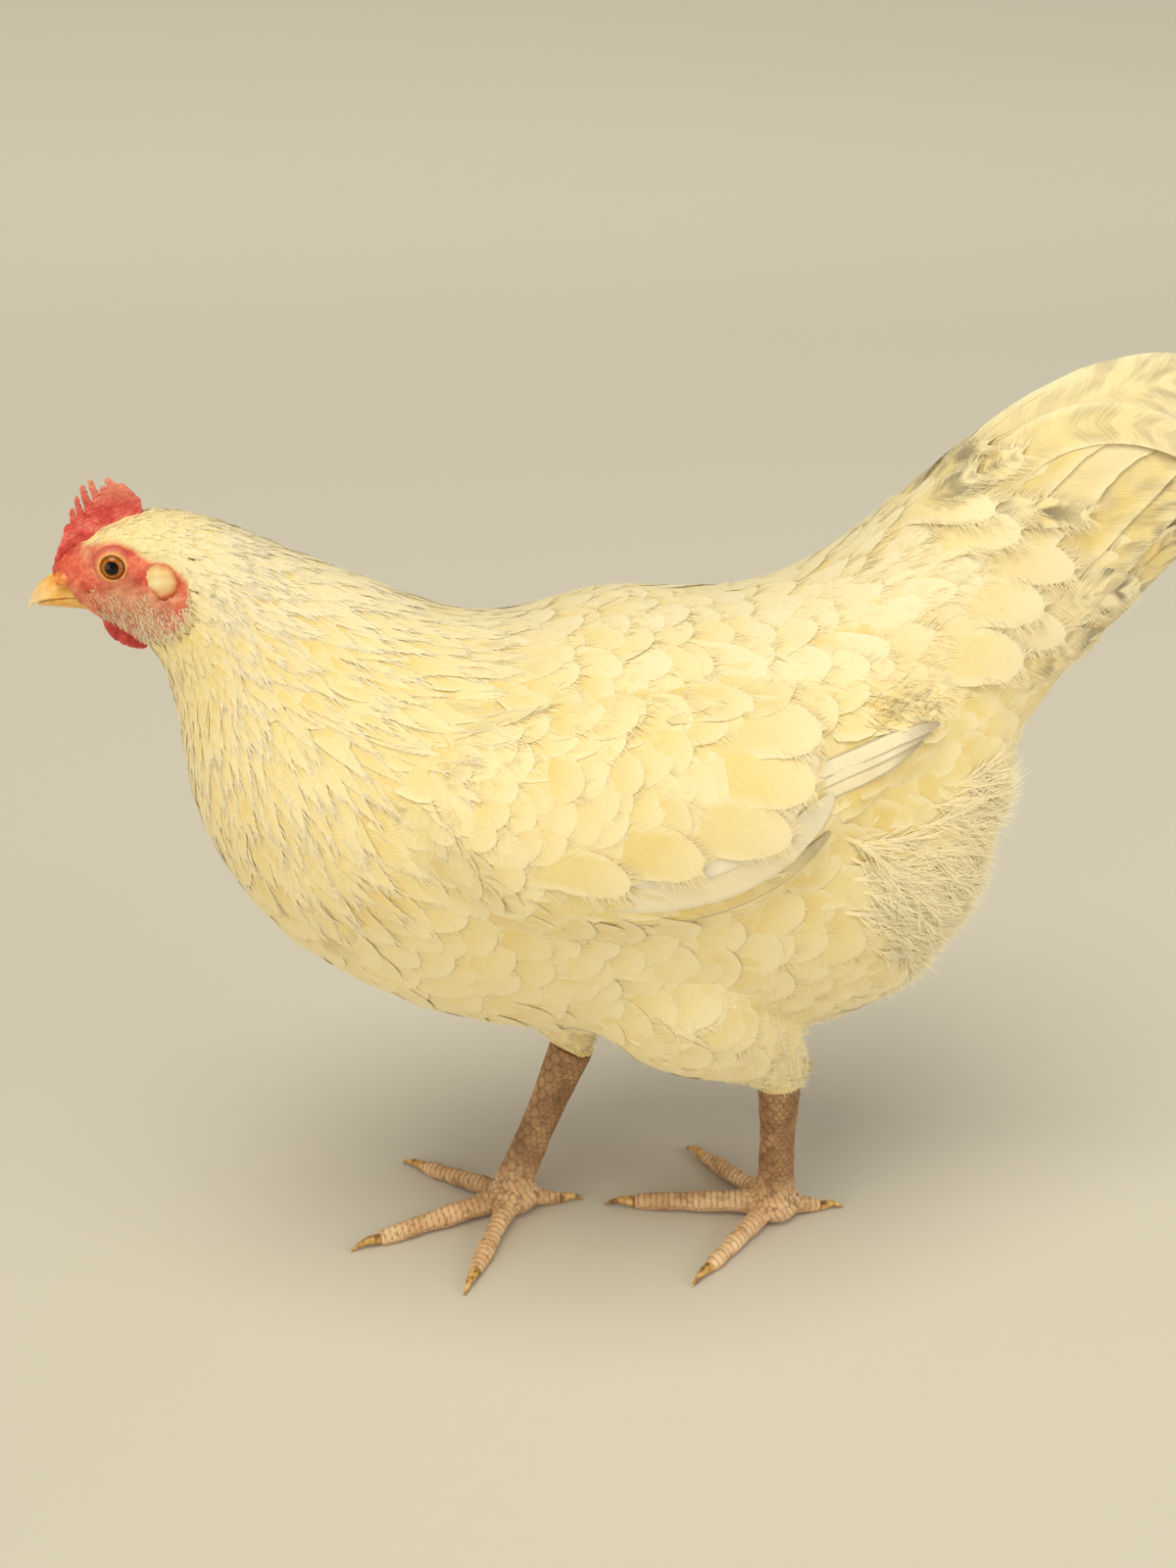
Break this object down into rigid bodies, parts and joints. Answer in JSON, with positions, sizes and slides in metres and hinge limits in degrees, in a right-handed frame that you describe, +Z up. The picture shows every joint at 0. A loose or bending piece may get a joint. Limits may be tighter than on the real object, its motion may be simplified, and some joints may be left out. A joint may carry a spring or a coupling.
{
  "type": "life-size model of a hen (domestic chicken)",
  "caption": "Still, life-size hen with cream plumage, a single comb and a high tail, standing in mid stride with its neck stretched forward.",
  "frame": {"origin": "on the floor, under the middle of the hen's box", "axes": "the hen faces -X, its left side is towards -Y, +Z is up"},
  "size_m": [0.4884, 0.178, 0.367],
  "materials": {
    "plumage": "soft, matt cream feathers",
    "tail_feather": "cream feathers with grey barring towards the tips",
    "comb_flesh": "pebbled red skin, slightly waxy",
    "lobe_flesh": "pale, wrinkled skin",
    "beak_horn": "smooth yellow horn",
    "leg_scale": "dry scales, stained with earth",
    "claw_horn": "worn yellow-brown horn",
    "eye": "clear, wet cornea over an amber iris"
  },
  "bodies": {
    "root": {"head": "plumage", "neck": "plumage", "trunk": "plumage", "tail": "tail_feather", "beak_upper": "beak_horn", "beak_lower": "beak_horn", "comb": "comb_flesh", "eye_left": "eye", "ear_lobe_left": "lobe_flesh", "wattle_left": "comb_flesh", "wing_left": "plumage", "drumstick_left": "plumage", "shank_left": "leg_scale", "foot_left": "leg_scale", "toe_left_inner": "leg_scale", "claw_left_inner": "claw_horn", "toe_left_middle": "leg_scale", "claw_left_middle": "claw_horn", "toe_left_outer": "leg_scale", "claw_left_outer": "claw_horn", "toe_left_hind": "leg_scale", "claw_left_hind": "claw_horn", "eye_right": "eye", "ear_lobe_right": "lobe_flesh", "wattle_right": "comb_flesh", "wing_right": "plumage", "drumstick_right": "plumage", "shank_right": "leg_scale", "foot_right": "leg_scale", "toe_right_inner": "leg_scale", "claw_right_inner": "claw_horn", "toe_right_middle": "leg_scale", "claw_right_middle": "claw_horn", "toe_right_outer": "leg_scale", "claw_right_outer": "claw_horn", "toe_right_hind": "leg_scale", "claw_right_hind": "claw_horn"}
  },
  "joints": []
}
